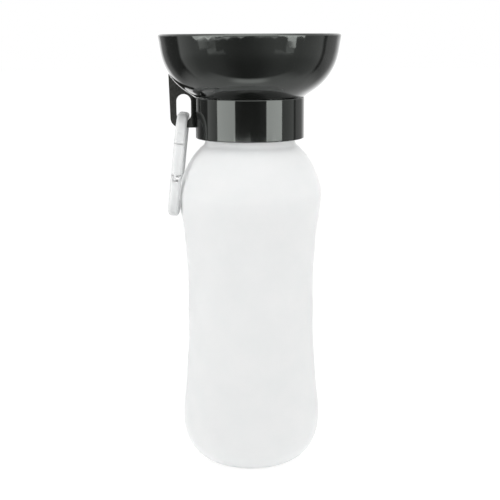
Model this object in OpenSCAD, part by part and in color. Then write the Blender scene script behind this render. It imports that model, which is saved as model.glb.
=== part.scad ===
// Dog travel water bottle: squeeze bottle, screw collar with a hanging lug, drinking bowl with a
// quarter-turn shut-off, dip tube and a snap ring. Millimetres, +Z up, origin at the centre of the
// ring that the bottle stands on. The lug and the snap ring are on the -X side.

/* [Bottle] */
// Radius of the flat ring that the bottle stands on
base_flat_r = 20; // [18:0.5:24]
// Height of the lowest grip ring
first_ring_z = 22.5; // [18:0.5:28]
// Spacing of the five grip rings
ring_pitch = 30.1; // [26:0.1:34]
// Wall radius at the lowest ring
ring_1_r = 36.2; // [33:0.1:38]
// Wall radius at the second ring
ring_2_r = 33.8; // [31:0.1:36]
// Wall radius at the middle ring, the waist
ring_3_r = 32.9; // [31:0.1:36]
// Wall radius at the fourth ring
ring_4_r = 33.5; // [31:0.1:36]
// Wall radius at the top ring, the upper bulge
ring_5_r = 36.6; // [34:0.1:38]
// Depth of the soft grooves between the rings
groove_depth = 0.33; // [0:0.03:1]
// Height of the shoulder above the top ring
shoulder_h = 25.7; // [22:0.1:30]
// Radius that the shoulder's curve closes in to
shoulder_end_r = 21.2; // [19:0.1:22]
// Radius of the hollow where the shoulder runs up into the neck
neck_hollow_r = 5; // [3:0.5:6]
// Height of the neck above the shoulder
neck_h = 17.4; // [15:0.1:22]
// Wall of the squeezable body
wall = 1.2; // [0.8:0.1:2]
// Wall of the neck
neck_wall = 1.8; // [1.4:0.1:2.4]
// Thickness of the base
base_t = 1.5; // [1:0.1:2.5]
// Rise of the pushed-up centre of the base
pushup_h = 4; // [2:0.25:6]
// Radius of the pushed-up centre of the base
pushup_r = 17; // [10:0.5:17]

/* [Collar] */
// Outer radius of the collar
collar_r = 27.7; // [27:0.1:30]
// Wall of the collar's skirt
collar_wall = 3.1; // [2.6:0.1:3.8]
// Height of the collar
collar_h = 20.6; // [19:0.1:23]
// Thickness of the collar's deck, above the gasket
deck_t = 3.8; // [3.2:0.1:5]
// Rounding of the collar's upper and lower edges
collar_edge_r = 0.5; // [0.3:0.1:1.2]
// Depth of the neck's thread, which the skirt leaves room for
thread_depth = 1.5; // [1:0.1:1.8]
// Wall of the valve chamber and of the dip tube's socket
chamber_wall = 1.8; // [1.2:0.1:2.4]
// Thickness of the neck gasket
gasket_t = 2; // [1:0.1:3]

/* [Lug] */
// Thickness of the lug
lug_t = 3; // [2:0.1:5]
// Distance of the lug's outer edge from the bottle's axis
lug_reach = 41; // [40:0.1:43]
// Taper of the lug's outer edge over its height
lug_taper = 0.8; // [0:0.1:2]
// Height of the lug's lower edge above the collar's lower edge
lug_lift = 5.2; // [3:0.1:6]
// Rounding of the lug's lower outer corner
lug_corner_r = 5; // [3:0.1:6]
// Width of the slot
slot_w = 7.4; // [7:0.1:7.6]
// Height of the slot
slot_h = 13.7; // [11:0.1:14]
// Distance of the slot's centre line from the bottle's axis
slot_x = 33.5; // [33.2:0.1:33.8]
// Height of the bar under the slot
slot_bar_h = 3.2; // [2.4:0.1:3.6]

/* [Bowl] */
// Height of the bowl from its underside to its rim
bowl_h = 30.7; // [27:0.1:36]
// Outer radius at the rim
rim_r = 46.2; // [45:0.1:52]
// Radius of the flat underside
foot_r = 27.8; // [27:0.1:29]
// Radius of the corner between the bowl's flared and upright walls
bend_r = 42.7; // [41.5:0.1:43.5]
// Height of that corner above the underside
bend_h = 9.9; // [9:0.1:12]
// Rounding of that corner
bend_round = 28.5; // [18:0.5:29]
// Wall of the bowl
bowl_wall = 2.2; // [1.6:0.1:2.6]

/* [Shut-off] */
// Radius of the bowl's hub
hub_r = 9; // [8.6:0.1:10]
// Wall of the hub
hub_wall = 1.8; // [1.5:0.1:2]
// Length of the hub below the bowl's underside
hub_len = 13; // [12:0.1:15]
// Thickness of the hub's closed end
hub_floor = 2; // [1.4:0.1:3]
// Radius of the water port
port_r = 2.5; // [2:0.1:2.6]
// Distance of the port from the bottle's axis
port_x = 4.4; // [4:0.1:4.5]
// Thickness of the valve seal
seal_t = 2.4; // [1.6:0.1:3]
// Height of the snap bead that holds the hub in the collar
bead_h = 1.8; // [1.2:0.1:2]
// Height of the snap bead over the hub's wall
bead_rise = 0.5; // [0.3:0.1:0.8]
// Thickness of the hub's O-ring
o_ring_d = 1.6; // [1.2:0.1:1.8]
// Quarter turn from open to shut
twist = 90; // [60:5:120]
// Width of the stop tab, in degrees
tab_angle = 14; // [8:1:24]

/* [Dip tube] */
// Outer radius of the dip tube
tube_r = 3.6; // [3.2:0.1:3.8]
// Wall of the dip tube
tube_wall = 0.8; // [0.6:0.1:1]
// Gap between the dip tube's lower end and the bottle's floor
tube_gap = 3; // [2:0.5:8]

/* [Snap ring] */
// Overall length of the ring
ring_len = 53; // [50:0.5:60]
// Overall width of the ring
ring_w = 29; // [27:0.5:32]
// Thickness of the ring across its plane
bar_w = 5.4; // [5:0.1:5.6]
// Thickness of the ring in its plane
bar_t = 3.8; // [3.4:0.1:4.2]
// Rounding of the ring's edges
bar_round = 1.6; // [1.2:0.1:1.6]
// Radius of the two upper bends, on the bar's centre line
top_bend_r = 8; // [6:0.5:9]
// Radius of the two lower bends, on the bar's centre line
low_bend_r = 11; // [8:0.5:11]
// Length of the gate from its hinge to its nose
gate_len = 20.2; // [16:0.1:20.5]
// Height that the gate's nose and the body's lip overlap
nose_lap = 2.4; // [1.5:0.1:4]
// Radius of the gate's pin
pin_r = 0.8; // [0.6:0.05:1]
// Thickness of the gate spring's wire
wire_d = 0.4; // [0.3:0.05:0.4]

/* [Hidden] */
$fn = 96;

// Clearances
turn_clear = 0.05;      // radial, hub in its bore and gate on its pin
seat_clear = 0.03;      // radial, pieces pushed into a bore
seam_gap = 0.3;         // bowl above the collar's deck
gate_gap = 0.2;         // gate's knuckle and nose to the ring
slide_gap = 0.05;       // hub's end above the valve seal
thread_clear = 0.3;     // thread crest to skirt
lug_gap = 0.35;         // lug below the bowl
lean_gap = 0.15;        // snap ring beside the bottle, with the collar screwed up or down
play = 0.1;             // sides of small moving pieces
eps = 0.01;             // overlap of cutting tools
over = 1;               // reach of a cutting tool past what it cuts

// Heights of the stack
top_ring_z = first_ring_z + 4 * ring_pitch;
shoulder_z = top_ring_z + shoulder_h;
neck_z = shoulder_z + neck_h;
deck_under_z = neck_z + gasket_t;
deck_z = deck_under_z + deck_t;
collar_z = deck_z - collar_h;
bowl_z = deck_z + seam_gap;
rim_z = bowl_z + bowl_h;
floor_z = bowl_z + bowl_wall;
hub_z = bowl_z - hub_len;
seal_z = hub_z - slide_gap - seal_t;
chamber_floor = 2.4;
chamber_z = seal_z - chamber_floor;

// Collar, neck and valve chamber
skirt_r = collar_r - collar_wall;
neck_r = skirt_r - thread_clear - thread_depth;
neck_bore_r = neck_r - neck_wall;
thread_lead = 3.2;      // rise of the collar in one turn
thread_turns = 1.25;    // turns until the thread lets go
cap_lift = thread_lead * thread_turns;
bore_r = hub_r + turn_clear;
chamber_r = bore_r + chamber_wall;
socket_r = tube_r + seat_clear;
socket_len = 8;
nipple_len = 1.6;
tube_cut = -35;         // slant of the dip tube's lower end

// Bottle's curve
base_full = 2.07;       // how square the base's edge is
shoulder_full = 1.5;    // how square the shoulder is
ring_radii = [ring_1_r, ring_2_r, ring_3_r, ring_4_r, ring_5_r];
steps_per_ring = 14;
corner_steps = 16;
dome_steps = 8;
hollow_steps = 6;

// Lug
lug_z = collar_z + lug_lift;
lug_top_z = bowl_z + bend_h + 4;
slot_z = lug_z + slot_bar_h;
edge_steps = 4;

// Bowl
lip_r = bowl_wall / 2;
lip_steps = 8;
bend_steps = 12;
dish = 1.2;             // fall of the bowl's floor from its edge to the drain
floor_round = 9;
floor_steps = 6;
drain_seat_r = hub_r + 1.2;

// Strainer
strainer_t = 1.2;
strainer_slots = 5;
strainer_slot_w = 1.2;
strainer_pitch = 2.6;
strainer_edge = 0.6;    // drain's wall to the slots' ends

// Hub: snap bead, O-ring groove above it, and stop tab under the bowl
bead_z = hub_z + 2;
ring_groove_z = bead_z + bead_h + 2.6;
o_ring_seat_r = hub_r - o_ring_d + play;
o_ring_section_r = (o_ring_d - 0.15) / 2;
track_r = 21.5;
track_w = 3;
track_depth = 1.8;
tab_side = 0.4;
tab_end = 1;            // degrees
tab_h = track_depth - seam_gap;

// Snap ring
half_span = (ring_w - bar_t) / 2;
drop = ring_len - bar_t;
leg_in_y = ring_w / 2 - bar_t;
bar_x = slot_x + 0.3;
bar_z = slot_z + 2.5;
nose_z = -top_bend_r - 2.3;

// Gate: its hinge, fork and spring
pin_y = -half_span;
pin_z = nose_z - gate_len;
fork_w = 2.8;
tongue_w = 1.4;
knuckle_r = bar_t / 2;
gate_heel = 0.4;        // knuckle to the gate's shoulder
coil_turns = 3;
coil_r = pin_r + play + wire_d;
coil_x = fork_w / 2 - play - coil_turns * wire_d / 2;
wire_reach = 4;

// ---------------------------------------------------------------------------------------------
// Plane geometry: points are [radius, height]

function unit(v) = v / norm(v);
function cross2(a, b) = a[0] * b[1] - a[1] * b[0];
function left_of(v) = [-v[1], v[0]];
function turned(v, a) = [v[0] * cos(a) - v[1] * sin(a), v[0] * sin(a) + v[1] * cos(a)];
function shifted(seg, d) = [for (p = seg) p + d * left_of(unit(seg[1] - seg[0]))];
function meet(s, t) =
    s[0] + (s[1] - s[0]) * cross2(t[0] - s[0], t[1] - t[0]) / cross2(s[1] - s[0], t[1] - t[0]);

// Arc of radius r that rounds corner b of the path a, b, c
function rounded(a, b, c, r, steps = bend_steps) =
    let (u = unit(a - b), w = unit(c - b), half = acos(u * w) / 2,
         centre = b + unit(u + w) * r / sin(half),
         start = b + u * r / tan(half) - centre,
         sweep = sign(cross2(b - a, c - b)) * (180 - 2 * half))
    [for (i = [0:steps]) centre + turned(start, sweep * i / steps)];

// Quarter of a superellipse from [r0, z0], where it runs level, to [r1, z1], where it is upright
function quarter(r0, z0, r1, z1, n) =
    [for (i = [0:corner_steps]) let (a = 90 * i / corner_steps)
        [r0 + (r1 - r0) * pow(sin(a), 2 / n), z1 - (z1 - z0) * pow(cos(a), 2 / n)]];

function reversed(list) = [for (i = [len(list) - 1:-1:0]) list[i]];

// ---------------------------------------------------------------------------------------------
// Bottle: the wall passes through the five rings on one smooth curve

function ring_slope(i) =
    i == 0 || i == 4 ? 0 : (ring_radii[i + 1] - ring_radii[i - 1]) / (2 * ring_pitch);
function ease(t, r0, r1, m0, m1) =
    (2 * pow(t, 3) - 3 * pow(t, 2) + 1) * r0 + (3 * pow(t, 2) - 2 * pow(t, 3)) * r1
    + ring_pitch * ((pow(t, 3) - 2 * pow(t, 2) + t) * m0 + (pow(t, 3) - pow(t, 2)) * m1);
function wall_r(i, t) =
    ease(t, ring_radii[i], ring_radii[i + 1], ring_slope(i), ring_slope(i + 1))
    - groove_depth * (1 - cos(360 * t)) / 2;

rings_curve = [for (i = [0:3], k = [1:steps_per_ring])
    let (t = k / steps_per_ring) if (i < 3 || k < steps_per_ring)
        [wall_r(i, t), first_ring_z + ring_pitch * (i + t)]];
outer_curve = concat(
    quarter(base_flat_r, 0, ring_1_r, first_ring_z, base_full),
    rings_curve,
    reversed(quarter(shoulder_end_r, shoulder_z, ring_5_r, top_ring_z, shoulder_full)));
inner_curve = concat(
    quarter(base_flat_r, base_t, ring_1_r - wall, first_ring_z, base_full),
    [for (p = rings_curve) [p[0] - wall, p[1]]],
    reversed(quarter(shoulder_end_r - wall, shoulder_z - wall, ring_5_r - wall, top_ring_z,
                     shoulder_full)));

// The hollow is an arc upright at the neck, set as low as the shoulder's points let it lie
hollow_x = neck_r + neck_hollow_r;
function hollow_rise(p) = p[1] + sqrt(pow(neck_hollow_r, 2) - pow(hollow_x - p[0], 2));
under_hollow = [for (p = outer_curve) if (p[1] > top_ring_z && p[0] > neck_r && p[0] < hollow_x) p];
hollow_z = max([for (p = under_hollow) hollow_rise(p)]);
touch = [for (p = under_hollow) if (hollow_rise(p) == hollow_z) p][0];
hollow_start = asin((hollow_z - touch[1]) / neck_hollow_r);
neck_hollow = [for (i = [1:hollow_steps]) let (a = hollow_start * (1 - i / hollow_steps))
    [hollow_x - neck_hollow_r * cos(a), hollow_z - neck_hollow_r * sin(a)]];

function pushup(r) = pushup_h * (1 + cos(180 * r / pushup_r)) / 2;
base_dome = [for (i = [0:dome_steps]) let (r = pushup_r * i / dome_steps) [r, pushup(r)]];

module bottle() {
    outside = [for (p = outer_curve) if (p[0] >= touch[0] || p[1] < top_ring_z) p];
    inside = [for (p = inner_curve) if (p[0] > neck_bore_r || p[1] < top_ring_z) p];
    color([0.92, 0.94, 0.94, 0.9])
        rotate_extrude()
            polygon(concat(
                base_dome,
                outside,
                neck_hollow,
                [[neck_r, neck_z], [neck_bore_r, neck_z],
                 [neck_bore_r, shoulder_z - wall]],
                reversed(inside),
                reversed([for (p = base_dome) p + [0, base_t]])));
}

// ---------------------------------------------------------------------------------------------
// Bowl outline

foot = [foot_r, bowl_z];
bend = [bend_r, bowl_z + bend_h];
rim = [rim_r, rim_z];
bowl_under = [[0, bowl_z], foot];
bowl_flare = [foot, bend];
bowl_side = [bend, rim];

// Outer path from the axis to the rim, grown by d
function bowl_outline(d) =
    let (under = shifted(bowl_under, -d), flare = shifted(bowl_flare, -d),
         side = shifted(bowl_side, -d), corner = meet(flare, side))
    concat([[0, bowl_z - d], meet(under, flare)],
           rounded(flare[0], corner, side[1], bend_round + d), [side[1]]);

function bowl_inside() =
    let (flare = shifted(bowl_flare, bowl_wall), side = shifted(bowl_side, bowl_wall),
         level = [[drain_seat_r, floor_z], [foot_r, floor_z + dish]],
         heel = meet(level, flare), corner = meet(flare, side))
    concat([level[0]], rounded(level[0], heel, corner, floor_round, floor_steps),
           rounded(heel, corner, side[1], bend_round - bowl_wall));

function bowl_lip() =
    let (side_in = shifted(bowl_side, bowl_wall), up = unit(rim - bend),
         centre = (rim + side_in[1]) / 2 - up * lip_r, out = (rim - side_in[1]) / 2)
    [for (i = [0:lip_steps]) centre + turned(out, 180 * i / lip_steps)];

module sector(r, w, from, angle, z, h) {
    translate([0, 0, z]) rotate([0, 0, from]) rotate_extrude(angle = angle)
        translate([r - w / 2, 0]) square([w, h]);
}

// ---------------------------------------------------------------------------------------------
// Collar

function edge_arc(centre, from) =
    [for (i = [0:edge_steps]) centre + turned([collar_edge_r, 0], from + 90 * i / edge_steps)];

module collar_shell() {
    rotate_extrude()
        polygon(concat(
            [[bore_r, deck_z]],
            reversed([[collar_r, deck_z - collar_edge_r],
                      for (p = edge_arc([collar_r - collar_edge_r, deck_z - collar_edge_r], 0)) p]),
            reversed(edge_arc([collar_r - collar_edge_r, collar_z + collar_edge_r], 270)),
            [[skirt_r, collar_z], [skirt_r, deck_under_z], [chamber_r, deck_under_z],
             [chamber_r, chamber_z], [0, chamber_z], [0, seal_z], [bore_r, seal_z]]));
}

module lug() {
    outer_low = [-lug_reach + lug_taper, lug_z];
    corner = rounded([-collar_r, lug_z], outer_low, [-lug_reach, lug_top_z], lug_corner_r);
    root_x = -(collar_r + skirt_r) / 2;
    rotate([90, 0, 0]) translate([0, 0, -lug_t / 2]) linear_extrude(height = lug_t)
        difference() {
            polygon(concat([[root_x, lug_z]], corner, [[-lug_reach, lug_top_z], [root_x, lug_top_z]]));
            slot_outline();
        }
}

module slot_outline() {
    r = slot_w / 2;
    for (z = [slot_z + r, slot_z + slot_h - r]) translate([-slot_x, z]) circle(r = r);
    translate([-slot_x - r, slot_z + r]) square([slot_w, slot_h - slot_w]);
}

module collar() {
    color([0.1, 0.1, 0.1])
        difference() {
            union() {
                collar_shell();
                difference() {
                    lug();
                    rotate_extrude() polygon(concat(bowl_outline(lug_gap), [[0, rim_z]]));
                }
                translate([port_x, 0, chamber_z - socket_len])
                    cylinder(r = socket_r + chamber_wall, h = socket_len + eps);
            }
            translate([port_x, 0, chamber_z - socket_len - eps])
                cylinder(r = socket_r, h = socket_len + chamber_floor + 2 * eps);
            translate([0, 0, bead_z - play]) cylinder(r = bore_r + bead_rise, h = bead_h + 2 * play);
            sector(track_r, track_w + 2 * tab_side, -tab_end, twist + tab_angle + 2 * tab_end,
                   deck_z - track_depth, track_depth + eps);
        }
}

// ---------------------------------------------------------------------------------------------
// Seals and tube

module neck_gasket() {
    color([0.75, 0.78, 0.78])
        translate([0, 0, neck_z]) difference() {
            cylinder(r = skirt_r - thread_clear, h = gasket_t);
            translate([0, 0, -eps]) cylinder(r = neck_bore_r + play, h = gasket_t + 2 * eps);
        }
}

module valve_seal() {
    color([0.7, 0.72, 0.72])
        difference() {
            union() {
                translate([0, 0, seal_z]) cylinder(r = bore_r - seat_clear, h = seal_t);
                translate([port_x, 0, seal_z - nipple_len])
                    cylinder(r = socket_r - seat_clear, h = nipple_len + eps);
            }
            translate([port_x, 0, seal_z - nipple_len - eps])
                cylinder(r = port_r, h = seal_t + nipple_len + 2 * eps);
        }
}

module dip_tube() {
    top_z = seal_z - nipple_len - play;
    low_z = base_t + pushup(port_x) + tube_gap;
    color([0.85, 0.88, 0.9])
        translate([port_x, 0, 0]) difference() {
            translate([0, 0, low_z]) cylinder(r = tube_r, h = top_z - low_z);
            translate([0, 0, low_z - eps]) cylinder(r = tube_r - tube_wall, h = top_z - low_z + 2 * eps);
            translate([-tube_r, 0, low_z]) rotate([0, tube_cut, 0])
                translate([-tube_r, -tube_r - over, -4 * tube_r])
                    cube([6 * tube_r, 2 * (tube_r + over), 4 * tube_r]);
        }
}

// ---------------------------------------------------------------------------------------------
// Bowl, O-ring and strainer

module bowl() {
    color([0.1, 0.1, 0.1])
        difference() {
            union() {
                rotate_extrude()
                    polygon(concat([for (p = bowl_outline(0)) if (p != rim) p], bowl_lip(),
                                   reversed(bowl_inside()), [[0, floor_z]]));
                translate([0, 0, hub_z]) cylinder(r = hub_r, h = hub_len + eps);
                translate([0, 0, bead_z]) cylinder(r = hub_r + bead_rise, h = bead_h);
                sector(track_r, track_w, 0, tab_angle, bowl_z - tab_h, tab_h + eps);
            }
            translate([0, 0, hub_z + hub_floor]) cylinder(r = hub_r - hub_wall, h = hub_len + bowl_wall);
            translate([0, 0, floor_z - strainer_t]) cylinder(r = drain_seat_r, h = strainer_t + dish);
            translate([port_x, 0, hub_z - eps]) cylinder(r = port_r, h = hub_floor + 2 * eps);
            translate([0, 0, ring_groove_z]) difference() {
                cylinder(r = hub_r + eps, h = o_ring_d + 2 * play);
                translate([0, 0, -eps]) cylinder(r = o_ring_seat_r, h = o_ring_d + 2 * play + 2 * eps);
            }
        }
}

module hub_o_ring() {
    color([0.2, 0.2, 0.2])
        translate([0, 0, ring_groove_z + play + o_ring_d / 2])
            rotate_extrude() translate([o_ring_seat_r + seat_clear + o_ring_section_r, 0])
                circle(r = o_ring_section_r, $fn = 32);
}

module drain_strainer() {
    open_r = hub_r - hub_wall;
    color([0.12, 0.12, 0.12])
        translate([0, 0, floor_z - strainer_t]) difference() {
            cylinder(r = drain_seat_r - seat_clear, h = strainer_t);
            for (i = [0:strainer_slots - 1]) {
                x = (i - (strainer_slots - 1) / 2) * strainer_pitch;
                half = sqrt(pow(open_r - strainer_edge, 2) - pow(abs(x) + strainer_slot_w / 2, 2));
                translate([x - strainer_slot_w / 2, -half, -eps])
                    cube([strainer_slot_w, 2 * half, strainer_t + 2 * eps]);
            }
        }
}

// ---------------------------------------------------------------------------------------------
// Snap ring: drawn in its own plane, the YZ plane, with the centre of its top bar at the origin.
// It hangs through the slot and leans outwards until its legs clear the bottle.

// Lean at which the ring's inner face, at y across the ring, clears wall point p once the collar
// has risen by up. The legs come closest while it is down, and the lower bar while it is up.
function lean_at(p, y, up) =
    let (side = sqrt(max(pow(p[0], 2) - pow(y, 2), 0)) + lean_gap - bar_x,
         down = bar_z + up - p[1])
    atan2(side, down) + asin(bar_w / 2 / norm([side, down]));
leg_leans = [for (p = outer_curve)
    if (p[1] > top_ring_z - ring_pitch / 2 && p[1] < bar_z - 2 * bar_w && p[0] > leg_in_y)
        lean_at(p, leg_in_y, 0)];
bow_leans = [for (p = outer_curve)
    if (abs(bar_z + cap_lift - drop - p[1]) < bar_t) lean_at(p, 0, cap_lift)];
lean = max(concat(leg_leans, bow_leans));

module hung() {
    translate([-bar_x, 0, bar_z]) rotate([0, lean, 0]) children();
}

module bar_section(across, along) {
    offsets = [across / 2 - bar_round, along / 2 - bar_round];
    square([across - 2 * bar_round, along], center = true);
    square([across, along - 2 * bar_round], center = true);
    for (x = [-1, 1], y = [-1, 1])
        translate([x * offsets[0], y * offsets[1]]) circle(r = bar_round, $fn = 32);
}

module leg(y, low, high) {
    translate([0, y, low]) linear_extrude(height = high - low) bar_section(bar_w, bar_t);
}

module cross_bar(z, reach) {
    translate([0, reach, z]) rotate([90, 0, 0])
        linear_extrude(height = 2 * reach) bar_section(bar_w, bar_t);
}

// Quarter bend about [y, z]: at turn 0 it joins a bar below the centre to a leg at +Y
module loop_bend(y, z, r, turn) {
    translate([0, y, z]) rotate([turn, 0, 0]) rotate([0, 90, 0])
        rotate_extrude(angle = 90) translate([r, 0]) bar_section(bar_t, bar_w);
}

module fork_slot() {
    translate([-fork_w / 2, pin_y, pin_z]) rotate([0, 90, 0])
        cylinder(r = knuckle_r + gate_gap, h = fork_w);
    translate([-fork_w / 2, pin_y - knuckle_r - over, pin_z])
        cube([fork_w, 2 * (knuckle_r + over), knuckle_r + over]);
}

module across_pin(r, w, x = 0) {
    translate([x - w / 2, pin_y, pin_z]) rotate([0, 90, 0]) cylinder(r = r, h = w, $fn = 48);
}

// Channel on the inner face for one arm of the spring
module wire_channel(low, high) {
    w = wire_d + 2 * play;
    translate([coil_x - w / 2, pin_y + coil_r - wire_d - play, low]) cube([w, bar_t, high - low]);
}

module carabiner_body() {
    color([0.86, 0.87, 0.87])
        hung() difference() {
            union() {
                cross_bar(0, half_span - top_bend_r);
                cross_bar(-drop, half_span - low_bend_r);
                loop_bend(half_span - top_bend_r, -top_bend_r, top_bend_r, 90);
                loop_bend(-half_span + top_bend_r, -top_bend_r, top_bend_r, 180);
                loop_bend(half_span - low_bend_r, low_bend_r - drop, low_bend_r, 0);
                loop_bend(-half_span + low_bend_r, low_bend_r - drop, low_bend_r, 270);
                leg(half_span, low_bend_r - drop, -top_bend_r);
                leg(-half_span, low_bend_r - drop, pin_z);
                leg(-half_span, nose_z - nose_lap, -top_bend_r);
                intersection() {
                    across_pin(knuckle_r, bar_w);
                    leg(-half_span, pin_z - bar_t, pin_z + bar_t);
                }
            }
            fork_slot();
            across_pin(pin_r, bar_w + over);
            wire_channel(pin_z - wire_reach, pin_z);
            translate([-bar_w, pin_y - play, nose_z - nose_lap - over])
                cube([2 * bar_w, bar_t, nose_lap + over]);
        }
}

module carabiner_gate() {
    shoulder = pin_z + knuckle_r + gate_heel;
    color([0.86, 0.87, 0.87])
        hung() difference() {
            union() {
                leg(-half_span, shoulder, nose_z - gate_gap);
                translate([play - fork_w / 2, 0, 0]) {
                    across_pin(knuckle_r, tongue_w, tongue_w / 2);
                    translate([0, pin_y - knuckle_r, pin_z])
                        cube([tongue_w, bar_t, knuckle_r + gate_heel + eps]);
                }
            }
            across_pin(pin_r + turn_clear, bar_w + over);
            wire_channel(pin_z, pin_z + wire_reach);
            translate([-bar_w, pin_y - bar_t, nose_z - nose_lap - gate_gap])
                cube([2 * bar_w, bar_t + play, nose_lap + over]);
        }
}

module gate_pin() {
    color("silver") hung() across_pin(pin_r, bar_w - play);
}

module gate_spring() {
    arm_y = pin_y + coil_r - wire_d / 2;
    color("silver") hung() {
        difference() {
            across_pin(coil_r, coil_turns * wire_d, coil_x);
            across_pin(coil_r - wire_d, bar_w, coil_x);
        }
        translate([coil_x, arm_y, pin_z - wire_reach + play])
            cylinder(d = wire_d, h = 2 * (wire_reach - play), $fn = 24);
    }
}

bottle();
neck_gasket();
collar();
valve_seal();
dip_tube();
bowl();
hub_o_ring();
drain_strainer();
carabiner_body();
carabiner_gate();
gate_pin();
gate_spring();
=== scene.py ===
"""Studio view of the dog travel water bottle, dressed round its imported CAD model.

Metres and +Z up, except where a size is given in millimetres.
"""

import math

import bpy
from mathutils import Matrix, Vector


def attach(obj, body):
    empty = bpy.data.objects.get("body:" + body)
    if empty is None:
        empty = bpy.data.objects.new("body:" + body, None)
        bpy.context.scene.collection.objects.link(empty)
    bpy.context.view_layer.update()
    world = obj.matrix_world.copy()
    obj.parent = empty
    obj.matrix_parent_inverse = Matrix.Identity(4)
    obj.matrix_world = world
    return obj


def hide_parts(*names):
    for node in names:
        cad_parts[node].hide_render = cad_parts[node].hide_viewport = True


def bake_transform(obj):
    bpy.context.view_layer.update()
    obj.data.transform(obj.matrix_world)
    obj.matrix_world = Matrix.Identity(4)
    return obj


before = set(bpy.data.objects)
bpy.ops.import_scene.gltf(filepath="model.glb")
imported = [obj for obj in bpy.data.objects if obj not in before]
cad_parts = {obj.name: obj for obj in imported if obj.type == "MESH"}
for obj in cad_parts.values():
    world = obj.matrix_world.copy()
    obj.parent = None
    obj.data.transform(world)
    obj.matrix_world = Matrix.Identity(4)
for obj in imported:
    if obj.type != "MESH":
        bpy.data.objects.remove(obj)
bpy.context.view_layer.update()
scene = bpy.context.scene
MM = 0.001

# ---------------------------------------------------------------------------------------------
# Sizes of the CAD model that the added pieces follow, in millimetres

NECK_R = 22.8  # outside of the bottle's neck
SKIRT_R = 24.6  # inside of the collar's skirt
THREAD_LEAD = 3.2
FIRST_RING_Z, RING_PITCH = 22.5, 30.1
RING_R = (36.2, 33.8, 32.9, 33.5, 36.6)  # wall at the five grip rings, from the lowest up
GROOVE = 0.33  # depth between two rings
TOP_RING_Z = FIRST_RING_Z + 4 * RING_PITCH
BASE_FLAT_R, BASE_FULL = 20, 2.07
SHOULDER_END_R, SHOULDER_Z, SHOULDER_FULL = 21.2, 168.6, 1.5
NECK_HOLLOW_R = 2.2
PUSHUP_R, PUSHUP_H = 17, 4
LEAN = math.radians(6.56476)  # of the snap ring, away from the bottle
BAR_X, BAR_Z = 33.8, 182.1  # middle of its top bar, on the -X side
PIN_Y, PIN_Z = -12.6, -30.5  # its gate's pin, from the middle of the top bar
COIL_X = 0.7  # middle of the gate spring, across the ring

# Shapes of the added pieces, in millimetres
THREAD_H, THREAD_W, THREAD_TURNS = 1.35, 1.9, 1.75
NECK_THREAD_Z, COLLAR_THREAD_Z = 174.4, 176.0  # where each thread starts
MOULD_LINE_H, MOULD_LINE_W = 0.06, 0.5
PINCH_REACH, PINCH_H, PINCH_W = 13.5, 0.4, 0.9
COIL_R, WIRE_R, COIL_TURNS, COIL_PITCH, COIL_ARM = 1.1, 0.2, 3.0, 0.42, 3.7

CURVE_STEPS = 24  # of each part of the bottle's line
RIDGE_STEPS = 8  # across a low ridge
FADE_STEPS = 4  # over which a low ridge rises at either end


# ---------------------------------------------------------------------------------------------
# Mesh helpers

def mesh_object(name, points, faces, smooth=True):
    """An object in the scene, from points in millimetres."""
    mesh = bpy.data.meshes.new(name)
    mesh.from_pydata([tuple(c * MM for c in p) for p in points], [], faces)
    mesh.validate()
    mesh.update()
    if smooth:
        mesh.shade_smooth()
    obj = bpy.data.objects.new(name, mesh)
    scene.collection.objects.link(obj)
    return obj


def swept(name, rows):
    """A closed tube-like mesh through rows of points, each row a loop of the same length."""
    count = len(rows[0])
    last = (len(rows) - 1) * count
    faces = []
    for start in range(0, last, count):
        for j in range(count):
            k = (j + 1) % count
            faces.append((start + j, start + k, start + count + k, start + count + j))
    faces.append(tuple(reversed(range(count))))
    faces.append(tuple(last + j for j in range(count)))
    return mesh_object(name, [p for row in rows for p in row], faces)


def smoothstep(a, b, x):
    t = min(1, max(0, (x - a) / (b - a)))
    return t * t * (3 - 2 * t)


def thread(name, root_r, height, low_z):
    """A rounded helical ridge: height is outwards where positive and inwards where negative."""
    per_turn, across = 96, 14
    runout = 0.1  # turns over which the ridge rises at either end
    flank = 0.3  # share of the width that each flank takes
    sink = 0.06  # depth that its foot lies under the surface
    steps = round(per_turn * THREAD_TURNS)
    side = 1 if height > 0 else -1
    rows = []
    for i in range(steps + 1):
        turn = THREAD_TURNS * i / steps
        angle = 2 * math.pi * turn
        grown = smoothstep(0, runout, turn) * smoothstep(0, runout, THREAD_TURNS - turn)
        row = []
        for j in range(across + 1):
            u = j / across
            crest = smoothstep(0, flank, u) * smoothstep(0, flank, 1 - u)
            r = root_r - side * sink + (side * sink + height * grown) * crest
            z = low_z + THREAD_LEAD * turn + THREAD_W * (u - 0.5)
            row.append((r * math.cos(angle), r * math.sin(angle), z))
        rows.append(row[::side])
    return swept(name, rows)


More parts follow.
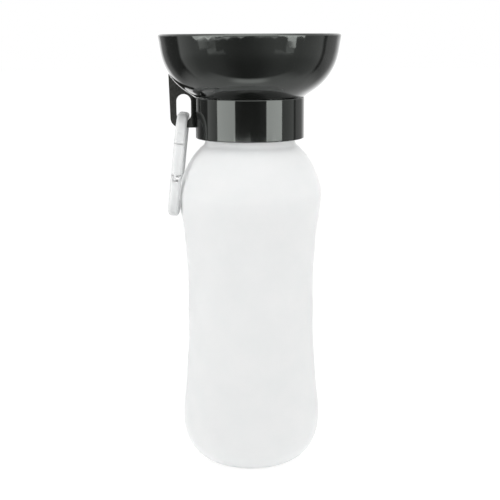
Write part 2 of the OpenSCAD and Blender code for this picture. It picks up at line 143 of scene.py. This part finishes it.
def bottle_outline():
    """The bottle's outer line as (r, z), from the base's flat ring to the foot of the neck."""
    line = []
    for i in range(CURVE_STEPS + 1):
        a = math.radians(90 * i / CURVE_STEPS)
        line.append((BASE_FLAT_R + (RING_R[0] - BASE_FLAT_R) * math.sin(a) ** (2 / BASE_FULL),
                     FIRST_RING_Z * (1 - math.cos(a) ** (2 / BASE_FULL))))
    slope = [0] + [(RING_R[i + 1] - RING_R[i - 1]) / 2 for i in (1, 2, 3)] + [0]
    for i in range(4):
        for k in range(1, CURVE_STEPS + 1):
            t = k / CURVE_STEPS
            r = ((2 * t ** 3 - 3 * t ** 2 + 1) * RING_R[i]
                 + (3 * t ** 2 - 2 * t ** 3) * RING_R[i + 1]
                 + (t ** 3 - 2 * t ** 2 + t) * slope[i] + (t ** 3 - t ** 2) * slope[i + 1])
            line.append((r - GROOVE * (1 - math.cos(2 * math.pi * t)) / 2,
                         FIRST_RING_Z + RING_PITCH * (i + t)))
    for i in range(CURVE_STEPS - 1, -1, -1):
        a = math.radians(90 * i / CURVE_STEPS)
        r = SHOULDER_END_R + (RING_R[4] - SHOULDER_END_R) * math.sin(a) ** (2 / SHOULDER_FULL)
        z = TOP_RING_Z + (SHOULDER_Z - TOP_RING_Z) * math.cos(a) ** (2 / SHOULDER_FULL)
        if r > NECK_R + NECK_HOLLOW_R:
            line.append((r, z))
    return line


def ridge_section(i, last, proud, sunk):
    """(u, lift) across a low ridge at step i of last: u from -1 to 1, its edges sunk."""
    grown = smoothstep(0, FADE_STEPS, i) * smoothstep(0, FADE_STEPS, last - i)
    for j in range(RIDGE_STEPS + 1):
        u = 2 * j / RIDGE_STEPS - 1
        yield u, (proud * grown + sunk) * (1 - u * u) - sunk


def mould_line(name, line, side):
    """A low ridge along the bottle's line, in the XZ plane on the side given."""
    rows = []
    last = len(line) - 1
    for i, (r, z) in enumerate(line):
        before, after = line[max(0, i - 1)], line[min(last, i + 1)]
        along = Vector((after[0] - before[0], after[1] - before[1])).normalized()
        out = Vector((along[1], -along[0]))
        rows.append([(side * (r + out[0] * lift), side * u * MOULD_LINE_W / 2, z + out[1] * lift)
                     for u, lift in ridge_section(i, last, MOULD_LINE_H, 0.03)])
    return swept(name, rows)


def pinch_off():
    """The rib that the mould leaves across the base's hollow."""
    rows = []
    steps = 54
    for i in range(steps + 1):
        x = PINCH_REACH * (2 * i / steps - 1)
        z = PUSHUP_H * (1 + math.cos(math.pi * x / PUSHUP_R)) / 2
        rows.append([(x, PINCH_W / 2 * u, z - lift)
                     for u, lift in ridge_section(i, steps, PINCH_H, 0.05)])
    return swept("base_pinch_off", rows)


def wire(name, path, radius):
    """A round wire along a path of points, with its frame carried along."""
    sides = 10
    rows = []
    up = None
    for i, p in enumerate(path):
        along = (path[min(len(path) - 1, i + 1)] - path[max(0, i - 1)]).normalized()
        if up is None:
            up = along.orthogonal().normalized()
        up = (up - along * up.dot(along)).normalized()
        across = along.cross(up)
        rows.append([tuple(p + radius * (up * math.cos(a) + across * math.sin(a)))
                     for a in (2 * math.pi * j / sides for j in range(sides))])
    return swept(name, rows)


# ---------------------------------------------------------------------------------------------
# Materials

# Noises that several materials share: scale, detail and, for the second, roughness
MOTTLE = (70, 3)
UNEVEN = (240, 4, 0.6)

LUG_X = -0.0295  # metres: the collar's lug lies further out
NO_MATT_X = -1


class Nodes:
    """A material's node tree with short calls for what the materials here share."""

    def __init__(self, name):
        self.material = bpy.data.materials.new(name)
        self.material.use_nodes = True
        self.tree = self.material.node_tree
        self.tree.nodes.clear()
        self.place = self.add("TexCoord").outputs["Object"]

    def add(self, kind, **inputs):
        node = self.tree.nodes.new("ShaderNode" + kind)
        for name, value in inputs.items():
            self.feed(node.inputs[name.replace("_", " ")], value)
        return node

    def feed(self, socket, value):
        if isinstance(value, bpy.types.NodeSocket):
            self.tree.links.new(value, socket)
        else:
            socket.default_value = value

    def noise(self, scale, detail=2.0, rough=0.5, stretch=None):
        place = self.place
        if stretch:
            place = self.add("Mapping", Vector=place, Scale=stretch).outputs["Vector"]
        return self.add("TexNoise", Vector=place, Scale=scale, Detail=detail,
                        Roughness=rough).outputs["Fac"]

    def ranged(self, value, low, high, from_low=0.3, from_high=0.7):
        node = self.add("MapRange", Value=value)
        for key, number in (("From Min", from_low), ("From Max", from_high),
                            ("To Min", low), ("To Max", high)):
            node.inputs[key].default_value = number
        return node.outputs["Result"]

    def blend(self, factor, a, b):
        """Colour a where the factor is 0 and colour b where it is 1."""
        node = self.add("Mix")
        node.data_type = "RGBA"
        self.feed(node.inputs[0], factor)
        self.feed(node.inputs[6], (*a, 1) if isinstance(a, tuple) else a)
        self.feed(node.inputs[7], (*b, 1) if isinstance(b, tuple) else b)
        return node.outputs[2]

    def mix(self, factor, a, b):
        """Number a where the factor is 0 and number b where it is 1."""
        node = self.add("Mix")
        for socket, item in ((0, factor), (2, a), (3, b)):
            self.feed(node.inputs[socket], item)
        return node.outputs[0]

    def bump(self, height, depth, normal=None):
        node = self.add("Bump", Height=height, Distance=depth, Strength=1.0)
        if normal:
            self.feed(node.inputs["Normal"], normal)
        return node.outputs["Normal"]

    def finish(self, **inputs):
        shader = self.add("BsdfPrincipled", **inputs)
        out = self.add("OutputMaterial", Surface=shader.outputs["BSDF"])
        out.is_active_output = True
        return self.material


def moulded(name, tones, rough, grain, wave, **more):
    """Moulded plastic: faint mottling, uneven gloss, a fine grain and a slow waviness.

    grain and wave are each a noise's scale and detail, and its depth in metres.
    """
    n = Nodes(name)
    tone = n.blend(n.ranged(n.noise(*MOTTLE), 0, 1), *tones)
    gloss = n.ranged(n.noise(*UNEVEN), *rough)
    bumps = n.bump(n.noise(*wave[:2]), wave[2])
    bumps = n.bump(n.noise(*grain[:2]), grain[2], bumps)
    return n.finish(Base_Color=tone, Roughness=gloss, Normal=bumps, **more)


def milky_moulded(name, depth):
    """The bottle's plastic; depth is the share of the light that goes through its wall."""
    return moulded(name, tones=((0.722, 0.746, 0.748), (0.748, 0.762, 0.764)),
                   rough=(0.36, 0.44), grain=(1400, 2.0, 0.000006), wave=(90, 2.0, 0.00006),
                   Subsurface_Weight=depth, Subsurface_Scale=0.008,
                   Subsurface_Radius=(1.0, 1.0, 1.0), IOR=1.5, Specular_IOR_Level=0.12)


def black_moulded(name, lug_x):
    """High gloss black; further out than lug_x it keeps the mould's fine matt texture."""
    n = Nodes(name)
    lug = n.ranged(n.add("SeparateXYZ", Vector=n.place).outputs["X"], 1, 0, lug_x, lug_x + MM)
    mottle = n.ranged(n.noise(*MOTTLE), 0, 1)
    gloss = n.blend(mottle, (0.0034, 0.0038, 0.0034), (0.0052, 0.0056, 0.0052))
    matt = n.blend(mottle, (0.0080, 0.0070, 0.0066), (0.0110, 0.0098, 0.0092))
    gloss_rough = n.ranged(n.noise(*UNEVEN), 0.045, 0.085)
    matt_rough = n.ranged(n.noise(900, 4, 0.6), 0.15, 0.22)
    bumps = n.bump(n.noise(110, 1.0), 0.000006)
    bumps = n.bump(n.noise(2600, 2.0), 0.0000004, bumps)
    return n.finish(Base_Color=n.blend(lug, gloss, matt),
                    Roughness=n.mix(lug, gloss_rough, matt_rough), Normal=bumps,
                    IOR=1.52, Specular_Tint=(0.94, 1.0, 0.95, 1.0))


def drawn_steel():
    """Steel wire, with fine lines along it."""
    n = Nodes("spring_steel")
    lines = n.noise(900, 3, 0.6, stretch=(1, 1, 0.08))
    tone = n.blend(n.ranged(lines, 0, 1), (0.66, 0.66, 0.66), (0.80, 0.80, 0.79))
    return n.finish(Base_Color=tone, Metallic=1.0, Roughness=n.ranged(lines, 0.32, 0.48),
                    Normal=n.bump(lines, 0.000003))


milky = milky_moulded("milky_plastic", 1.0)
milky_ridge = milky_moulded("milky_plastic_ridge", 0.0)
black = black_moulded("black_plastic", NO_MATT_X)
black_lugged = black_moulded("black_plastic_lug", LUG_X)
grey = moulded("grey_plastic", tones=((0.485, 0.49, 0.49), (0.535, 0.54, 0.54)),
               rough=(0.42, 0.52), grain=(2200, 2.0, 0.000003), wave=(150, 1.0, 0.000012),
               Subsurface_Weight=0.8, Subsurface_Scale=0.004,
               Subsurface_Radius=(1.0, 1.0, 1.0), IOR=1.5, Specular_IOR_Level=0.25)
silicone = moulded("clear_silicone", tones=((0.60, 0.63, 0.63), (0.68, 0.70, 0.70)),
                   rough=(0.4, 0.52), grain=(1800, 2.0, 0.000004), wave=(200, 1.0, 0.00001),
                   Subsurface_Weight=0.3, Subsurface_Scale=0.002, IOR=1.41)
rubber = moulded("black_rubber", tones=((0.02, 0.02, 0.021), (0.032, 0.032, 0.033)),
                 rough=(0.45, 0.6), grain=(2500, 2.0, 0.000004), wave=(300, 1.0, 0.00001))
tube_plastic = moulded("tube_plastic", tones=((0.70, 0.74, 0.76), (0.76, 0.79, 0.80)),
                       rough=(0.2, 0.3), grain=(1800, 2.0, 0.000002), wave=(200, 1.0, 0.00001),
                       Transmission_Weight=0.35, IOR=1.5)
steel = drawn_steel()

FINISHES = {
    "bottle": milky, "neck_gasket": silicone, "collar": black_lugged, "valve_seal": silicone,
    "dip_tube": tube_plastic, "bowl": black, "hub_o_ring": rubber, "drain_strainer": black,
    "carabiner_body": grey, "carabiner_gate": grey, "gate_pin": steel, "gate_spring": steel,
}
for node, material in FINISHES.items():
    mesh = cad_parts[node].data
    mesh.materials.clear()
    mesh.materials.append(material)


# ---------------------------------------------------------------------------------------------
# Smooth shading of the CAD bodies' facets

WELD = 0.000001
SHARPEST_SMOOTHED = math.radians(28)


def facets_smoothed():
    """Nodes that weld a mesh and shade it smoothly, except across its sharp edges."""
    group = bpy.data.node_groups.new("facets_smoothed", "GeometryNodeTree")
    for way in ("INPUT", "OUTPUT"):
        group.interface.new_socket("Geometry", in_out=way, socket_type="NodeSocketGeometry")
    add, link = group.nodes.new, group.links.new
    unset = add("GeometryNodeRemoveAttribute")
    unset.inputs["Name"].default_value = "custom_normal"
    weld = add("GeometryNodeMergeByDistance")
    weld.inputs["Distance"].default_value = WELD
    faces, edges, kept = [add("GeometryNodeSetShadeSmooth") for _ in range(3)]
    faces.domain, edges.domain, kept.domain = "FACE", "EDGE", "EDGE"
    kept.inputs["Shade Smooth"].default_value = False
    sharp = add("FunctionNodeCompare")
    sharp.data_type, sharp.operation = "FLOAT", "GREATER_THAN"
    link(add("GeometryNodeInputMeshEdgeAngle").outputs["Unsigned Angle"], sharp.inputs[0])
    sharp.inputs[1].default_value = SHARPEST_SMOOTHED
    link(sharp.outputs[0], kept.inputs["Selection"])
    row = [add("NodeGroupInput"), unset, weld, faces, edges, kept, add("NodeGroupOutput")]
    for before, after in zip(row, row[1:]):
        link(before.outputs[0], after.inputs[0])
    return group


smoothing = facets_smoothed()
for node in ("bottle", "bowl", "carabiner_body", "carabiner_gate"):
    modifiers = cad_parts[node].modifiers
    modifiers.new("facets_smoothed", "NODES").node_group = smoothing
    modifiers.new("weighted_normals", "WEIGHTED_NORMAL").keep_sharp = True


# ---------------------------------------------------------------------------------------------
# Threads, mould lines and the wound spring

def dress(obj, body, material):
    obj.data.materials.clear()
    obj.data.materials.append(material)
    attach(obj, body)


dress(thread("neck_thread", NECK_R, THREAD_H, NECK_THREAD_Z), "bottle_unit", milky)
dress(thread("collar_thread", SKIRT_R, -THREAD_H, COLLAR_THREAD_Z), "cap_unit", black)
outline = bottle_outline()
for side, label in ((1, "right"), (-1, "left")):
    dress(mould_line("mould_line_" + label, outline, side), "bottle_unit", milky_ridge)
dress(pinch_off(), "bottle_unit", milky_ridge)


def gate_coil(coil_low, coil_high):
    """A torsion spring round the gate's pin, its two arms lying in the legs' channels."""
    per_turn, arm_steps = 40, 6
    turn_steps = COIL_TURNS * per_turn
    path = [Vector((coil_low, PIN_Y + COIL_R, PIN_Z - COIL_ARM * (1 - i / arm_steps)))
            for i in range(arm_steps)]
    for i in range(round(turn_steps) + 1):
        a = 2 * math.pi * i / per_turn
        path.append(Vector((coil_low + (coil_high - coil_low) * i / turn_steps,
                            PIN_Y + COIL_R * math.cos(a), PIN_Z + COIL_R * math.sin(a))))
    path += [Vector((coil_high, PIN_Y + COIL_R, PIN_Z + COIL_ARM * (i + 1) / arm_steps))
             for i in range(arm_steps)]
    return wire("gate_spring_wound", path, WIRE_R)


# The snap ring's own frame: its top bar is the origin, and the ring leans from there
hung = Matrix.Translation((-BAR_X, 0, BAR_Z)) @ Matrix.Rotation(LEAN, 4, "Y")
coil_low = COIL_X - COIL_TURNS * COIL_PITCH / 2
coil_high = coil_low + COIL_PITCH * COIL_TURNS
spring = gate_coil(coil_low, coil_high)
for vertex in spring.data.vertices:
    vertex.co = hung @ (vertex.co / MM) * MM
spring.data.materials.append(steel)
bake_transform(spring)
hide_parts("gate_spring")

# ---------------------------------------------------------------------------------------------
# Floor and sky

FLOOR_R, FLOOR_SIDES = 6000, 96  # millimetres
GLOW, PAPER_SHARE = 1.11, 0.25  # the camera sees a glowing floor and this share of lit paper

# What a glossy surface mirrors, by azimuth in degrees round the object: 0 is in front of it,
# towards -Y, and 90 is +X. Dark in front, paler beside, then a dark edge on either side and a
# bright back.
SURROUND = (
    (-180, 1.60), (-152, 1.50), (-146, 0.50), (-135, 0.40), (-126, 0.16), (-101, 0.14),
    (-97, 1.20), (-86, 1.00), (-74, 0.76), (-60, 0.66), (-45, 0.38), (-30, 0.18), (-15, 0.07),
    (15, 0.07), (30, 0.20), (45, 0.36), (60, 0.60), (80, 0.74), (102, 0.88), (106, 0.15),
    (109, 0.15), (112, 0.60), (136, 0.50), (148, 1.15), (160, 1.55), (180, 1.60),
)


def maths(tree):
    """Short calls for maths, ramps and mixes in the node tree given."""
    add, link = tree.nodes.new, tree.links.new

    def put(socket, item):
        if isinstance(item, (int, float)):
            socket.default_value = item
        else:
            link(item, socket)

    def calc(operation, *items):
        node = add("ShaderNodeMath")
        node.operation = operation
        for socket, item in zip(node.inputs, items):
            put(socket, item)
        return node.outputs[0]

    def ramp(value, from_low, from_high, low, high):
        """From low to high, smoothly, while the value goes from from_low to from_high."""
        node = add("ShaderNodeMapRange")
        node.interpolation_type = "SMOOTHSTEP"
        for index, item in enumerate((value, from_low, from_high, low, high)):
            put(node.inputs[index], item)
        return node.outputs[0]

    def mixed(share, a, b):
        node = add("ShaderNodeMixShader")
        put(node.inputs[0], share)
        link(a, node.inputs[1])
        link(b, node.inputs[2])
        return node.outputs[0]

    return calc, ramp, mixed


def surround(tree, x, y):
    """The level that SURROUND gives for the direction or place (x, y)."""
    calc = maths(tree)[0]
    azimuth = calc("ARCTAN2", x, calc("MULTIPLY", y, -1.0))
    turn = calc("MULTIPLY_ADD", azimuth, 1 / (2 * math.pi), 0.5)
    node = tree.nodes.new("ShaderNodeValToRGB")
    tree.links.new(turn, node.inputs[0])
    stops = node.color_ramp.elements
    peak = max(level for _, level in SURROUND)
    last = len(SURROUND) - 1
    for i, (angle, level) in enumerate(SURROUND):
        place = (angle + 180) / 360
        stop = stops[0] if i == 0 else stops[-1] if i == last else stops.new(place)
        stop.position = place
        stop.color = (level / peak, level / peak, level / peak, 1)
    return calc("MULTIPLY", node.outputs["Color"], peak)


def by_ray(tree, shown, mirrored, lit):
    """One shader for camera and transmission rays, one for mirror rays and one for the rest."""
    calc, _, mixed = maths(tree)
    path = tree.nodes.new("ShaderNodeLightPath")
    seen = calc("MAXIMUM", path.outputs["Is Camera Ray"], path.outputs["Is Transmission Ray"])
    return mixed(seen, mixed(path.outputs["Is Glossy Ray"], lit, mirrored), shown)


def floor_mirrored(n):
    """The level of a glow painted into the floor for mirror rays only: a painted reflection of a
    pale table in a dark room.
    """
    calc, ramp, _ = maths(n.tree)
    x, y, _ = n.add("SeparateXYZ", Vector=n.place).outputs
    away = calc("SQRT", calc("ADD", calc("MULTIPLY", x, x), calc("MULTIPLY", y, y)))

    # The painted table glow is brightest near its front edge, where a painted glare lies across
    # its middle
    middle = ramp(calc("ABSOLUTE", x), 0.03, 0.09, 1.0, 0.0)
    glare = ramp(y, -0.072, -0.046, 1.35, 0.25)
    painted_table_glow = calc("MULTIPLY_ADD", middle, glare, ramp(y, -0.03, 0.1, 1.15, 0.9))

    # The painted room glow is as SURROUND has it, with painted shade low down on both sides, and
    # paler towards the front
    front, side = calc("DIVIDE", y, calc("MULTIPLY", away, -1.0)), calc("DIVIDE", x, away)
    near = ramp(away, 0.9, 1.6, ramp(away, 0.2, 0.7, 0.2, 1.0), 0.0)
    facing = calc("MULTIPLY", ramp(front, 0.4, 0.9, 0.0, 1.0), ramp(side, -0.2, 0.5, 0.16, 0.48))
    shaded = calc("MULTIPLY", ramp(calc("ABSOLUTE", side), 0.6, 0.9, 0.0, 1.0),
                  ramp(away, 0.3, 0.85, 0.30, 0.0))
    painted_room_glow = calc("MULTIPLY", surround(n.tree, x, y), calc("SUBTRACT", 1.0, shaded))
    painted_room_glow = calc("ADD", painted_room_glow, calc("MULTIPLY", facing, near))

    # The painted table glow ends softly in front, and its back reaches further than its front
    reach = ramp(y, -0.02, 0.10, 0.25, 0.40)
    on_painted_table = calc("MULTIPLY", ramp(y, -0.110, -0.084, 0.0, 1.0),
                    ramp(calc("DIVIDE", away, reach), 0.5, 1.0, 1.0, 0.0))
    return n.mix(on_painted_table, painted_room_glow, painted_table_glow)


def studio_floor():
    """White paper with the object's shadow; mirrors see instead a glow painted into the floor, a
    painted reflection of a pale table in a dark room.
    """
    n = Nodes("studio_floor")
    mixed = maths(n.tree)[2]
    paper = n.blend(n.ranged(n.noise(400, 3), 0, 1), (0.84, 0.84, 0.84), (0.87, 0.87, 0.87))
    sheet = n.add("BsdfDiffuse", Color=paper).outputs[0]
    glow = n.add("Emission", Color=(1, 1, 1, 1), Strength=GLOW).outputs[0]
    # Painted reflection: the floor glows for mirror rays only, though it is no lamp
    mirrored = n.add("Emission", Color=(1, 1, 1, 1), Strength=floor_mirrored(n)).outputs[0]
    shown = mixed(PAPER_SHARE, glow, sheet)
    n.add("OutputMaterial", Surface=by_ray(n.tree, shown, mirrored, sheet))
    n.material.cycles.emission_sampling = "NONE"

    angles = [2 * math.pi * i / FLOOR_SIDES for i in range(FLOOR_SIDES)]
    points = [(0, 0, 0)] + [(FLOOR_R * math.cos(a), FLOOR_R * math.sin(a), 0) for a in angles]
    faces = [(0, i + 1, (i + 1) % FLOOR_SIDES + 1) for i in range(FLOOR_SIDES)]
    floor = mesh_object("studio_floor", points, faces, smooth=False)
    floor.data.materials.append(n.material)


def studio_world():
    """White to the camera; a soft sky lights the object, palest in front of it."""
    world = bpy.data.worlds.new("studio")
    scene.world = world
    world.use_nodes = True
    tree = world.node_tree
    tree.nodes.clear()
    calc, ramp, _ = maths(tree)

    def background(strength):
        node = tree.nodes.new("ShaderNodeBackground")
        node.inputs["Color"].default_value = (1, 1, 1, 1)
        if isinstance(strength, float):
            node.inputs["Strength"].default_value = strength
        else:
            tree.links.new(strength, node.inputs["Strength"])
        return node.outputs[0]

    direction = tree.nodes.new("ShaderNodeSeparateXYZ")
    tree.links.new(tree.nodes.new("ShaderNodeTexCoord").outputs["Generated"], direction.inputs[0])
    x, y, z = direction.outputs
    level = calc("SQRT", calc("ADD", calc("MULTIPLY", x, x), calc("MULTIPLY", y, y)))
    behind = calc("DIVIDE", y, calc("MAXIMUM", level, 0.05))  # -1 in front of the object
    lit = ramp(z, 0.35, 0.8, ramp(behind, -0.8, 0.2, 1.3, 0.75), 0.83)
    mirrored = ramp(z, 0.0, 0.07, surround(tree, x, y), ramp(behind, -0.65, -0.2, 4.3, 1.5))
    out = tree.nodes.new("ShaderNodeOutputWorld")
    tree.links.new(by_ray(tree, background(1.0), background(mirrored), background(lit)),
                   out.inputs["Surface"])


studio_floor()
studio_world()


# ---------------------------------------------------------------------------------------------
# Lamps: two tall softboxes whose strips show on the collar, cards under them for the bowl's
# highlights, rim lights for its edge, and one lamp overhead

LAMP_DISTANCE = 0.4

# Azimuth in degrees, height of the middle, width, height and level
LAMPS = {
    "softbox_left": (-49.8, 0.1965, 0.29, 0.147, 4.9),
    "softbox_right": (50.7, 0.1990, 0.25, 0.142, 5.3),
    "tongue_left": (-52.5, 0.1235, 0.16, 0.013, 3.1),
    "tongue_low_left": (-52.5, 0.1115, 0.16, 0.011, 1.1),
    "tongue_right": (51.3, 0.1178, 0.08, 0.0245, 5.0),
    "rim_left": (-16.0, 0.1245, 0.245, 0.016, 3.4),
    "rim_low_left": (-34.0, 0.1145, 0.163, 0.008, 2.0),
    "rim_right": (19.0, 0.1230, 0.26, 0.014, 2.1),
    "card_left": (-47.0, 0.0940, 0.084, 0.0135, 0.9),
    "card_mid_left": (-41.0, 0.0835, 0.14, 0.008, 0.6),
    "card_low_left": (-41.0, 0.0718, 0.17, 0.0155, 0.25),
    "card_right": (50.0, 0.0940, 0.078, 0.0145, 0.8),
    "card_mid_right": (40.5, 0.0835, 0.145, 0.008, 0.6),
    "card_low_right": (43.0, 0.0718, 0.18, 0.0155, 0.25),
}


def softbox(name, place, aim, width, height, level):
    """An even rectangular area lamp that the camera doesn't see."""
    lamp = bpy.data.lights.new(name, "AREA")
    lamp.shape = "RECTANGLE"
    lamp.size, lamp.size_y = width, height
    lamp.energy = level * math.pi * width * height
    obj = bpy.data.objects.new(name, lamp)
    scene.collection.objects.link(obj)
    facing = Vector(aim) - Vector(place)
    obj.matrix_world = (Matrix.Translation(place)
                        @ facing.to_track_quat("-Z", "Y").to_matrix().to_4x4())
    obj.visible_camera = False


for name, (azimuth, z, width, height, level) in LAMPS.items():
    a = math.radians(azimuth)
    place = (LAMP_DISTANCE * math.sin(a), -LAMP_DISTANCE * math.cos(a), z)
    softbox(name, place, (0, 0, z), width, height, level)
softbox("softbox_top", (0, -0.25, 0.75), (0, 0, 0.2), 0.5, 0.3, 3.0)


# ---------------------------------------------------------------------------------------------
# Camera, fitted to the photograph

CAMERA_PLACE = (-0.00028, -0.5115, 0.2228)
CAMERA_DOWN, CAMERA_ROLL = 12.19, -0.27  # degrees

camera = bpy.data.cameras.new("camera")
camera.lens = 72
camera.sensor_width = 36
camera.clip_start = 0.01
camera.clip_end = 50
camera_object = bpy.data.objects.new("camera", camera)
scene.collection.objects.link(camera_object)
camera_object.matrix_world = (Matrix.Translation(CAMERA_PLACE)
                              @ Matrix.Rotation(math.radians(90 - CAMERA_DOWN), 4, "X")
                              @ Matrix.Rotation(math.radians(CAMERA_ROLL), 4, "Z"))
scene.camera = camera_object
scene.view_settings.view_transform = "Standard"
